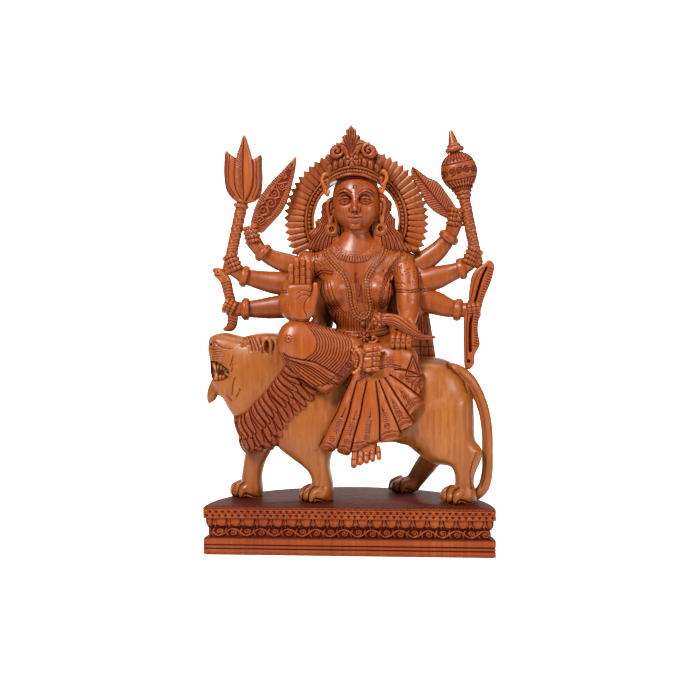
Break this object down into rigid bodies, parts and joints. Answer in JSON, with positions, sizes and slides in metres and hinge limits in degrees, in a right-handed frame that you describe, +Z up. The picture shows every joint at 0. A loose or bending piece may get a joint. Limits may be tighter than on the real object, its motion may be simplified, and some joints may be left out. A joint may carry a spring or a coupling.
{
  "type": "hindu deity statue",
  "caption": "Carved wooden figurine of a many-armed rider seated on a striding lion, with a rayed halo, held emblems and a half-round carved plinth.",
  "frame": {"origin": "middle of the plinth's underside (bottom centre of the bounding box)", "axes": "+Z up to the crown's tip, -Y towards the front, +X to the viewer's right"},
  "size_m": [0.2064, 0.08, 0.3048],
  "materials": {
    "carved_wood": "polished, dark stain in the grooves",
    "felt": "matte felt"
  },
  "bodies": {
    "root": {"back_drape": "carved_wood", "bangles": "carved_wood", "belt": "carved_wood", "bow": "carved_wood", "collar_necklace": "carved_wood", "conch": "carved_wood", "crown": "carved_wood", "crown_ornaments": "carved_wood", "dagger": "carved_wood", "ears_and_earrings": "carved_wood", "feet": "carved_wood", "felt_pad": "felt", "folded_leg": "carved_wood", "hair": "carved_wood", "halo_rays": "carved_wood", "halo_ring": "carved_wood", "head": "carved_wood", "hips": "carved_wood", "left_forearm": "carved_wood", "left_hand": "carved_wood", "left_upper_arm": "carved_wood", "lion_body": "carved_wood", "lion_far_front_leg": "carved_wood", "lion_far_hind_leg": "carved_wood", "lion_head": "carved_wood", "lion_mane": "carved_wood", "lion_near_front_leg": "carved_wood", "lion_near_hind_leg": "carved_wood", "lion_tail": "carved_wood", "lion_tongue": "carved_wood", "long_necklace": "carved_wood", "lower_left_arm": "carved_wood", "lower_left_hand": "carved_wood", "lower_right_arm": "carved_wood", "lower_right_hand": "carved_wood", "mace_head": "carved_wood", "mace_shaft": "carved_wood", "middle_left_arm": "carved_wood", "middle_left_hand": "carved_wood", "middle_right_arm": "carved_wood", "middle_right_hand": "carved_wood", "plinth_deck": "carved_wood", "plinth_foot": "carved_wood", "plinth_frieze": "carved_wood", "plinth_petal_band": "carved_wood", "rear_shoulders": "carved_wood", "right_forearm": "carved_wood", "right_hand": "carved_wood", "right_upper_arm": "carved_wood", "serpent": "carved_wood", "shoulder_sash": "carved_wood", "skirt": "carved_wood", "sword": "carved_wood", "torso": "carved_wood", "trident_head": "carved_wood", "trident_shaft": "carved_wood", "upper_left_arm": "carved_wood", "upper_left_hand": "carved_wood", "upper_right_arm": "carved_wood", "upper_right_hand": "carved_wood"}
  },
  "joints": []
}
